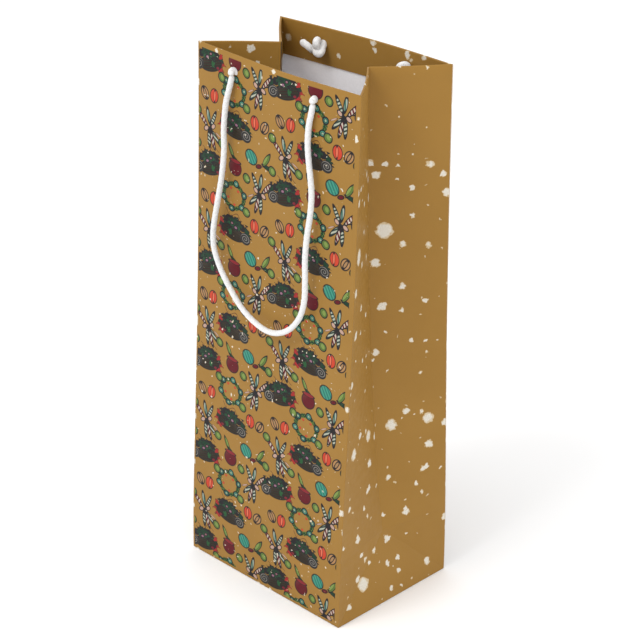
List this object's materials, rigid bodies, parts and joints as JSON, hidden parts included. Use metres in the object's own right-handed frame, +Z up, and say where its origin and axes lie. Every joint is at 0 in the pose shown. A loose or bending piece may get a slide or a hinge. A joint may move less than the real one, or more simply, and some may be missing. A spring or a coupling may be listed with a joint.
{
  "type": "wine gift bag",
  "caption": "Tall gusseted paper gift bag for a wine bottle, with folded hem, stiffened base and rope handles; its walls crease and fold flat.",
  "frame": {"origin": "on the floor, under the middle of the bag's bottom", "axes": "+Z up to the mouth, front printed wall faces -Y, width along X, gussets on +X and -X"},
  "size_m": [0.1328, 0.102, 0.35],
  "materials": {
    "printed_paper": "printed and matt laminated",
    "inside_paper": "plain white inside",
    "stiff_card": "uncoated",
    "rope": "twisted cotton"
  },
  "bodies": {
    "bottom": {"bottom_flap_outer": "inside_paper", "bottom_flap_inner": "inside_paper", "bottom_side_flap_left": "inside_paper", "bottom_side_flap_right": "inside_paper", "base_board": "stiff_card"},
    "back_wall": {"back_panel": "printed_paper", "back_lower_panel": "printed_paper", "back_card": "stiff_card", "back_hem": "printed_paper", "back_knot_left": "rope", "back_knot_right": "rope"},
    "right_gusset_back": {"right_gusset_back_half": "printed_paper", "right_back_corner": "printed_paper"},
    "left_gusset_back": {"left_gusset_back_half": "printed_paper", "left_back_corner": "printed_paper"},
    "right_gusset_front": {"right_gusset_front_half": "printed_paper"},
    "left_gusset_front": {"left_gusset_front_half": "printed_paper"},
    "front_wall": {"front_panel": "printed_paper", "front_card": "stiff_card", "front_hem": "printed_paper", "front_knot_left": "rope", "front_knot_right": "rope"},
    "front_strip": {"front_lower_panel": "printed_paper"},
    "right_base_fold": {"right_base_triangle": "printed_paper"},
    "left_base_fold": {"left_base_triangle": "printed_paper"},
    "right_corner_fold": {"right_front_corner": "printed_paper"},
    "left_corner_fold": {"left_front_corner": "printed_paper"},
    "front_handle": {"front_handle_cord": "rope"},
    "back_handle": {"back_handle_cord": "rope"}
  },
  "joints": [
    {"name": "fold_flat", "type": "hinge", "parent": "bottom", "child": "back_wall", "pos_m": [0, 0.04775, 0.0027], "axis": [1, 0, 0], "range_deg": [0, 58], "deforming": ["back_knot_left", "back_knot_right"]},
    {"name": "right_back_crease", "type": "hinge", "parent": "back_wall", "child": "right_gusset_back", "pos_m": [0.0665, 0.04, 0.175], "axis": [0, 0, -1], "range_deg": [0, 48.8], "deforming": ["right_back_corner"]},
    {"name": "left_back_crease", "type": "hinge", "parent": "back_wall", "child": "left_gusset_back", "pos_m": [-0.0665, 0.04, 0.175], "axis": [0, 0, 1], "range_deg": [0, 48.8], "deforming": ["left_back_corner"]},
    {"name": "right_middle_crease", "type": "hinge", "parent": "right_gusset_back", "child": "right_gusset_front", "pos_m": [0.04042, 0, 0.175], "axis": [0, 0, 1], "range_deg": [0, 97.6]},
    {"name": "left_middle_crease", "type": "hinge", "parent": "left_gusset_back", "child": "left_gusset_front", "pos_m": [-0.04042, 0, 0.175], "axis": [0, 0, -1], "range_deg": [0, 97.6]},
    {"name": "right_front_crease", "type": "hinge", "parent": "right_gusset_front", "child": "front_wall", "pos_m": [0.0665, -0.04, 0.175], "axis": [0, 0, -1], "range_deg": [0, 48.8], "deforming": ["front_knot_left", "front_knot_right"]},
    {"name": "front_bottom_crease", "type": "hinge", "parent": "bottom", "child": "front_strip", "pos_m": [0, -0.04775, 0.0027], "axis": [-1, 0, 0], "range_deg": [0, 73], "deforming": ["front_lower_panel"]},
    {"name": "right_bottom_crease", "type": "hinge", "parent": "bottom", "child": "right_base_fold", "pos_m": [0.0662, 0, 0.0027], "axis": [0, -1, 0], "range_deg": [0, 47], "deforming": ["right_base_triangle"]},
    {"name": "left_bottom_crease", "type": "hinge", "parent": "bottom", "child": "left_base_fold", "pos_m": [-0.0662, 0, 0.0027], "axis": [0, 1, 0], "range_deg": [0, 47], "deforming": ["left_base_triangle"]},
    {"name": "right_corner_crease", "type": "hinge", "parent": "front_strip", "child": "right_corner_fold", "pos_m": [0.0665, -0.04775, 0.0027], "axis": [0, 0.1719, 0.9851], "range_deg": [0, 48.8], "deforming": ["right_front_corner"]},
    {"name": "left_corner_crease", "type": "hinge", "parent": "front_strip", "child": "left_corner_fold", "pos_m": [-0.0665, -0.04775, 0.0027], "axis": [0, -0.1719, -0.9851], "range_deg": [0, 48.8], "deforming": ["left_front_corner"]},
    {"name": "front_handle_swing", "type": "hinge", "parent": "front_wall", "child": "front_handle", "pos_m": [0.00565, -0.0436, 0.34], "axis": [-1, 0, 0], "range_deg": [0, 180]},
    {"name": "back_handle_swing", "type": "hinge", "parent": "back_wall", "child": "back_handle", "pos_m": [0.00565, 0.0436, 0.34], "axis": [1, 0, 0], "range_deg": [0, 180]}
  ],
  "couplings": [
    {"joint": "right_back_crease", "follows": "fold_flat", "ratio": 0.84137},
    {"joint": "left_back_crease", "follows": "fold_flat", "ratio": 0.84137},
    {"joint": "right_middle_crease", "follows": "fold_flat", "ratio": 1.6827},
    {"joint": "left_middle_crease", "follows": "fold_flat", "ratio": 1.6827},
    {"joint": "right_front_crease", "follows": "fold_flat", "ratio": 0.84137},
    {"joint": "front_bottom_crease", "follows": "fold_flat", "ratio": 1.2586},
    {"joint": "right_bottom_crease", "follows": "fold_flat", "ratio": 0.81034},
    {"joint": "left_bottom_crease", "follows": "fold_flat", "ratio": 0.81034},
    {"joint": "right_corner_crease", "follows": "fold_flat", "ratio": 0.84137},
    {"joint": "left_corner_crease", "follows": "fold_flat", "ratio": 0.84137}
  ]
}
